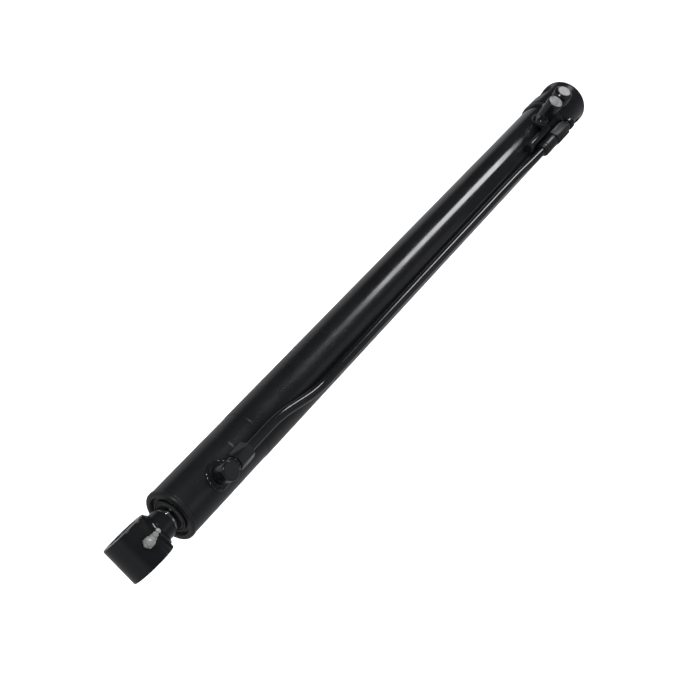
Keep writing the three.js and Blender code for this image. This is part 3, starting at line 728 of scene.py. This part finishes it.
TILTED = ROD_END @ turn(GREASE_TILT, "Y")
BALL_CENTRE = shift(0, 0, EYE_R + FITTING_BALL_RISE)
ON_BALL = BALL_CENTRE @ turn(NIPPLE_TWIST, "Z") @ turn(NIPPLE_LEAN, "Y") @ STAND
fitting = fitting_body("rod_fitting_body", EYE_R + GAP, TILTED @ STAND)
join_into(fitting, [
    (ball(FITTING_BALL_R), TILTED @ BALL_CENTRE),
    (lathe([(0, 0), (0, SEAT_R), (SEAT_LENGTH - 0.7, SEAT_R), (SEAT_LENGTH, SEAT_R - 0.6),
            (SEAT_LENGTH, 0)], SMALL), TILTED @ ON_BALL),
])
finish_piece(fitting, ROD_BODY, ZINC, ["rod_grease_body"])
piece_of("rod_fitting_nipple", [(NIPPLE, TILTED @ ON_BALL @ shift(SEAT_LENGTH + GAP))],
         ROD_BODY, ZINC, ["rod_grease_nipple"])

DOWN = turn(180, "X") @ STAND
fitting = fitting_body("base_fitting_body", CAP_R + GAP, DOWN)
finish_piece(fitting, BARREL_BODY, ZINC, ["base_grease_body"])
piece_of("base_fitting_nipple", [(NIPPLE, DOWN @ shift(CAP_R + NIPPLE_RISE))],
         BARREL_BODY, ZINC, ["base_grease_nipple"])


# --- rod-end port ---------------------------------------------------------------------------------

ROD_PORT = at_angle(ROD_PORT_ANGLE)
ROD_LINE = ROD_PORT @ shift(0, 0, LINE_ROD_RADIUS)
painted("rod_port_boss", [
    (bar(PAD_FOOT, PAD_TOP, PAD_R, radius=0.8), ROD_PORT @ standing(ROD_PORT_X)),
], ["rod_port_pad"], PAINT_CAST)
painted("rod_port_bead", [
    (saddle_bead(HEAD_TUBE_R, PAD_R, width=4, height=2.6, count=11, rise=0.9),
     ROD_PORT @ shift(ROD_PORT_X)),
], ["rod_port_weld"], PAINT_WELD)

ELBOW_SPIGOT_R = 6.6
ELBOW_SPIGOT = PAD_TOP - 2.4
ELBOW_TIP = 937
ELBOW_SHOULDER = 945
ELBOW_NECK_R = 8
ELBOW_ARM_R = 10
elbow = new_object("rod_port_block", mesh_from([
    (lathe([
        (ELBOW_SPIGOT, 0), (ELBOW_SPIGOT, ELBOW_SPIGOT_R), (PAD_TOP + GAP, ELBOW_SPIGOT_R + 0.1),
        (PAD_TOP + GAP, LEG_R - 2), (PAD_TOP + 3, LEG_R), (LEG_TOP - 1.6, LEG_R), (LEG_TOP, FACE_R),
        (LEG_TOP, 0),
    ], FINE), ROD_PORT @ standing(ROD_PORT_X)),
    (lathe([
        (ELBOW_TIP, 0), (ELBOW_TIP, ELBOW_NECK_R - 1), (ELBOW_TIP + 1, ELBOW_NECK_R),
        (ELBOW_SHOULDER, ELBOW_NECK_R), (ELBOW_SHOULDER, ELBOW_ARM_R), (ROD_PORT_X, ELBOW_ARM_R),
        (ROD_PORT_X, 0),
    ], FINE), ROD_LINE),
]))
melt(elbow, voxel=0.55, passes=5)
finish_piece(elbow, BARREL_BODY, PAINT_CAST, ["rod_port_elbow"])


def tube_nut(name, low, high, line, node, look=PAINT_SMOOTH):
    """A nut on the line, whose frame is line, from low to high along it."""
    made = hex_block(name, low, high, NUT_CORNER_R, line @ FLAT_OUT, edge=1.8, soft=0.35)
    finish_piece(made, BARREL_BODY, look, [node])


tube_nut("rod_end_tube_nut", low=918.5, high=944, line=ROD_LINE, node="rod_line_nut")


# --- steel line -----------------------------------------------------------------------------------

# Route as (x, radius from the barrel's axis, degrees round it)
LINE_LOW_RADIUS = 43.4
LINE_ROUTE = [
    (83, LINE_BASE_RADIUS, LINE_ANGLE), (120, LINE_BASE_RADIUS, LINE_ANGLE),
    (150, LINE_BASE_RADIUS, LINE_ANGLE), (180, 46.6, LINE_ANGLE), (215, 44.2, LINE_ANGLE),
    (245, LINE_LOW_RADIUS, LINE_ANGLE), (420, LINE_LOW_RADIUS, LINE_ANGLE),
    (600, LINE_LOW_RADIUS, LINE_ANGLE), (735, LINE_LOW_RADIUS, LINE_ANGLE), (765, 43.5, 29.8),
    (788, 44.3, 26.2), (815, 46, 18.5), (842, 47.8, 11.6),
    (865, LINE_ROD_RADIUS, ROD_PORT_ANGLE), (900, LINE_ROD_RADIUS, ROD_PORT_ANGLE),
    (ELBOW_TIP - GAP, LINE_ROD_RADIUS, ROD_PORT_ANGLE),
]
ROUTE_STEPS = 12


def smooth_path(points):
    """Catmull-Rom curve through the points, with knots spaced by the root of their distance."""
    ends = [2 * points[0] - points[1], *points, 2 * points[-1] - points[-2]]
    result = []
    for p0, p1, p2, p3 in zip(ends, ends[1:], ends[2:], ends[3:]):
        k1 = (p1 - p0).length ** 0.5
        k2 = k1 + (p2 - p1).length ** 0.5
        k3 = k2 + (p3 - p2).length ** 0.5
        for i in range(ROUTE_STEPS):
            k = k1 + (k2 - k1) * i / ROUTE_STEPS
            a1 = p0 * ((k1 - k) / k1) + p1 * (k / k1)
            a2 = p1 * ((k2 - k) / (k2 - k1)) + p2 * ((k - k1) / (k2 - k1))
            a3 = p2 * ((k3 - k) / (k3 - k2)) + p3 * ((k - k2) / (k3 - k2))
            b1 = a1 * ((k2 - k) / k2) + a2 * (k / k2)
            b2 = a2 * ((k3 - k) / (k3 - k1)) + a3 * ((k - k1) / (k3 - k1))
            result.append(b1 * ((k2 - k) / (k2 - k1)) + b2 * ((k - k1) / (k2 - k1)))
    return result + [points[-1]]


route = [at_angle(degrees) @ Vector((x, 0, radius)) for x, radius, degrees in LINE_ROUTE]
painted("hydraulic_line", [(sweep(smooth_path(route), LINE_R), IN_PLACE)],
        ["steel_line"], PAINT_LINE)

BASE_LINE = at_angle(LINE_ANGLE) @ shift(0, 0, LINE_BASE_RADIUS)
SLEEVE_BACK = 108.5
SLEEVE_FRONT = 145
SLEEVE_R = 10.4
CRIMP_START = 135
CRIMP_END = 138.6
painted("line_swaged_sleeve", [(lathe([
    (SLEEVE_BACK, 0), (SLEEVE_BACK, SLEEVE_R - 1), (SLEEVE_BACK + 1.5, SLEEVE_R),
    (CRIMP_START, SLEEVE_R), (CRIMP_START + 0.6, SLEEVE_R - 1), (CRIMP_END - 0.6, SLEEVE_R - 1),
    (CRIMP_END, SLEEVE_R), (SLEEVE_FRONT - 3, SLEEVE_R), (SLEEVE_FRONT, SLEEVE_R - 2.2),
    (SLEEVE_FRONT, 0),
], FINE), BASE_LINE)], ["line_sleeve"], PAINT_SATIN)
tube_nut("base_tube_nut", low=71, high=108, line=BASE_LINE, node="base_line_nut", look=PAINT_SATIN)

ADAPTER_BACK = 58.3
ADAPTER_FRONT = 80
ADAPTER_NECK_R = 8.2
ADAPTER_CORNER_R = 10
adapter = hex_block("line_hex_adapter", low=62.5, high=70.6, corner=ADAPTER_CORNER_R,
                    matrix=BASE_LINE @ FLAT_OUT)
join_into(adapter, [(bar(ADAPTER_BACK, ADAPTER_FRONT, ADAPTER_NECK_R), BASE_LINE)])
finish_piece(adapter, BARREL_BODY, PAINT_SMOOTH, ["line_adapter"])

BLOCK_BACK = 46
BLOCK_FRONT = 58
BLOCK_R = 10
painted("line_port_block", [(lathe([
    (BLOCK_BACK, 0), (BLOCK_BACK, BLOCK_R - 2.5), (BLOCK_BACK + 2.5, BLOCK_R),
    (BLOCK_FRONT - 1, BLOCK_R), (BLOCK_FRONT, BLOCK_R - 1), (BLOCK_FRONT, 0),
], FINE, radius=1), BASE_LINE)], ["line_block"], PAINT_CAST)


# --- base-end ports -------------------------------------------------------------------------------

TEE = at_angle(TEE_ANGLE)
TEE_FOOT = 33
TEE_RECESS = 3.7
ARM_START = Vector((TEE_X, 0, 45))
ARM_R = 9.4
ARM_STEPS = 8
HEEL = Vector((106, 2, 46))  # the end of the tee's arm, where its run begins
HEEL_R = 9.6
KNUCKLE_R = 6.2
RUN_Y = 14
RUN_Z = 41.6
RUN_START = 104
RUN_END = 160
RUN_R = 5.4
RUN = TEE @ shift(0, RUN_Y, RUN_Z)
arm = [ARM_START.lerp(HEEL, step / ARM_STEPS) for step in range(ARM_STEPS + 1)]
tee = new_object("port_tee_casting", mesh_from([
    (lathe([
        (TEE_FOOT, 0), (TEE_FOOT, LEG_R), (TEE_TOP - 1.8, LEG_R), (TEE_TOP, FACE_R + GAP),
        (TEE_TOP, 0),
    ], FINE), TEE @ standing(TEE_X)),
    (sweep(arm, ARM_R), TEE),
    (ball(HEEL_R), TEE @ shift(*HEEL)),
    (ball(KNUCKLE_R), TEE @ shift(HEEL.x, RUN_Y, RUN_Z + 0.5)),
    (bar(RUN_START, RUN_END, RUN_R, SMALL), RUN),
]))
melt(tee, voxel=0.6, passes=5)
combine(tee, bar(TEE_TOP - TEE_RECESS, TEE_TOP + 7.4, FACE_R, radius=0), TEE @ standing(TEE_X))
finish_piece(tee, BARREL_BODY, PAINT_CAST, ["port_tee"])
painted("port_tee_bead", [
    (saddle_bead(BARREL_R, LEG_R, width=4.2, height=4.6, count=12, rise=0.7), TEE @ shift(TEE_X)),
], ["port_tee_weld"], PAINT_WELD)


def face_plug(name, x, top, radius, depth, port, look, node):
    """The bare disc in a port's face."""
    shape = lathe([
        (top - depth, 0), (top - depth, radius), (top - 0.4, radius), (top, radius - 0.4), (top, 0),
    ], FINE, radius=0.3)
    piece_of(name, [(shape, port @ standing(x))], BARREL_BODY, look, [node])


face_plug("tee_face_plug", TEE_X, TEE_TOP, FACE_R - GAP, TEE_RECESS, TEE, TEE_FACE, "port_tee_plug")

RUN_PLUG_BACK = RUN_END + GAP
RUN_PLUG_LENGTH = 8
RUN_PLUG_CORNER_R = 7.6
run_plug = hex_block("tee_run_hex_plug", RUN_PLUG_BACK, RUN_PLUG_BACK + RUN_PLUG_LENGTH,
                     RUN_PLUG_CORNER_R, RUN, edge=1)
join_into(run_plug, [(bar(RUN_END - 8, RUN_END + 1, 2.2, TINY), RUN)])
finish_piece(run_plug, BARREL_BODY, PAINT_SMOOTH, ["tee_run_plug"])

CAP_PORT = at_angle(CAP_PORT_ANGLE)
CAP_PORT_FOOT = 30
CAP_RECESS = CAP_PORT_TOP - 6
CAP_RECESS_R = CAP_PLUG_R + GAP
CAP_PLUG_TOP = CAP_PORT_TOP + 0.6
painted("cap_port_barrel", [(lathe([
    (CAP_PORT_FOOT, 0), (CAP_PORT_FOOT, CAP_PORT_R), (CAP_PORT_TOP - 3.4, CAP_PORT_R),
    (CAP_PORT_TOP, CAP_PORT_R - 3.8), (CAP_PORT_TOP, CAP_RECESS_R), (CAP_RECESS, CAP_RECESS_R),
    (CAP_RECESS, 0),
], FINE, radius=0.8), CAP_PORT @ standing(CAP_PORT_X))], ["cap_port_boss"], PAINT_CAST)
face_plug("cap_face_plug", CAP_PORT_X, CAP_PLUG_TOP, CAP_PLUG_R, CAP_PLUG_TOP - CAP_RECESS - GAP,
          CAP_PORT, CAP_FACE, "cap_port_plug")


# --- studio, in metres ----------------------------------------------------------------------------

# The floor is far enough below the cylinder that no hard shadow meets the object.
FLOOR_CENTRE = Vector((0.5, 0, -0.6))
FLOOR_HALF = 9.0

floor_mesh = bpy.data.meshes.new("floor")
floor_mesh.from_pydata(
    [FLOOR_CENTRE + Vector((x, y, 0)) * FLOOR_HALF for x, y in ((-1, -1), (1, -1), (1, 1), (-1, 1))],
    [], [(0, 1, 2, 3)])
floor = new_object("studio_floor", floor_mesh)
floor_look = Look("floor_paper", Roughness=0.9, Specular_IOR_Level=0.1)
floor_look.set("Base Color", floor_look.tones(
    floor_look.noise(1.5), (0.2, (0.86, 0.86, 0.86)), (0.8, (0.9, 0.9, 0.9))))
floor.data.materials.append(floor_look.material)
floor.visible_glossy = False  # gloss sees the grey below the world's horizon instead

# The camera is placed by how the cylinder's axis lies in camera space.
LENS = 71.2
SENSOR = 36.0
AXIS_TILT = 38.98  # degrees the cylinder's axis leans out of the plane of view
ROLL = 6.1  # degrees the ports lean sideways from facing the camera
TO_BASE_SEEN = Vector((0.5304, 0.5682, -0.6291)).normalized()
AIM = Vector((0.6629, 0, 0))  # this point of the axis is seen at AIM_SEEN, in camera space
AIM_SEEN = Vector((-0.0154, 0.0144, -1.841))

flat_to_base = Vector((TO_BASE_SEEN.x, TO_BASE_SEEN.y, 0)).normalized()
tilt = math.radians(AXIS_TILT)
facing = Vector((math.sin(tilt) * flat_to_base.x, math.sin(tilt) * flat_to_base.y, math.cos(tilt)))
facing = (facing - TO_BASE_SEEN * facing.dot(TO_BASE_SEEN)).normalized()
sideways = facing.cross(TO_BASE_SEEN).normalized() * -1
lean = math.radians(ROLL)
x_axis = -TO_BASE_SEEN
z_axis = facing * math.cos(lean) + sideways * math.sin(lean)
y_axis = z_axis.cross(x_axis)
turn_camera = Matrix((x_axis, y_axis, z_axis))

camera_data = bpy.data.cameras.new("camera")
camera_data.lens = LENS
camera_data.sensor_width = SENSOR
camera_data.clip_end = 50
camera = new_object("camera", camera_data)
camera.matrix_world = Matrix.Translation(AIM - turn_camera @ AIM_SEEN) @ turn_camera.to_4x4()
bpy.context.scene.camera = camera


def softbox(name, centre, target, size, power, seen_in_gloss=True):
    """A rectangular studio light at centre that faces target; its long side lies near X."""
    data = bpy.data.lights.new(name, "AREA")
    data.shape = "RECTANGLE"
    data.size, data.size_y = size
    data.energy = power
    made = new_object(name, data)
    back = (centre - target).normalized()
    side = (Vector((1, 0, 0)) - back * back.x).normalized()
    made.matrix_world = Matrix.Translation(centre) @ Matrix(
        (side, back.cross(side), back)).transposed().to_4x4()
    made.visible_glossy = seen_in_gloss


# The key hangs on the base side, and the glint, on the rod side, reaches curved edges only.
KEY_TARGET = Vector((-0.015, 0, 0))
KEY_OFFSET = Vector((-0.629, -0.407, 0.662)).normalized() * 2.0
GLINT_TARGET = Vector((0.55, 0, 0))
GLINT_OFFSET = Vector((0.35, -0.55, 0.75)).normalized() * 2.2
MIDDLE = Vector((0.5, 0, 0))
softbox("key", KEY_TARGET + KEY_OFFSET, KEY_TARGET, size=(0.81, 0.57), power=18.5)
softbox("glint", GLINT_TARGET + GLINT_OFFSET, GLINT_TARGET, size=(0.45, 0.45), power=16)
softbox("overhead", MIDDLE + Vector((0, 0, 3.2)), MIDDLE, size=(8, 8), power=500,
        seen_in_gloss=False)
softbox("fill", MIDDLE + Vector((-0.6, 0.75, 1.2)), MIDDLE, size=(1.6, 0.7), power=1.0)

WORLD_GREY = 0.06
HORIZON_GREY = 0.018
BELOW_LEFT = 0.42
BELOW_RIGHT = 0.34
ROD_SIDE_RISE = 0.75  # how much higher the grey reaches towards the rod end


def studio_world():
    """Dim above, darkest at the horizon, and a pale grey below it that is brighter on the key's
    side. The grey starts low on the left, and fades in over a wide band on the right."""
    world = bpy.data.worlds.new("studio")
    sky = Graph(world)
    direction = sky.node("TexCoord").outputs["Generated"]
    along, across, up = sky.node("SeparateXYZ", Vector=direction).outputs
    rise = sky.maths("MULTIPLY_ADD", sky.remap(along, 0, 1, 0, 1), -ROD_SIDE_RISE, up)
    full_below = sky.remap(across, -0.5, 0.5, -0.30, -0.2)
    none_above = sky.remap(across, -0.5, 0.5, -0.08, 0.6)
    below = sky.remap(rise, full_below, none_above, 1, 0)
    level = sky.remap(across, -0.7, 0.7, BELOW_LEFT, BELOW_RIGHT)
    above = sky.remap(rise, -0.1, 0.5, HORIZON_GREY, WORLD_GREY)
    background = sky.tree.nodes["Background"]
    sky.feed(background.inputs["Color"], (1, 1.01, 1.03, 1))
    sky.feed(background.inputs["Strength"], sky.maths("MULTIPLY_ADD", below, level, above))
    return world


bpy.context.scene.world = studio_world()
bpy.context.scene.view_settings.view_transform = "Standard"
bpy.context.scene.view_settings.look = "None"
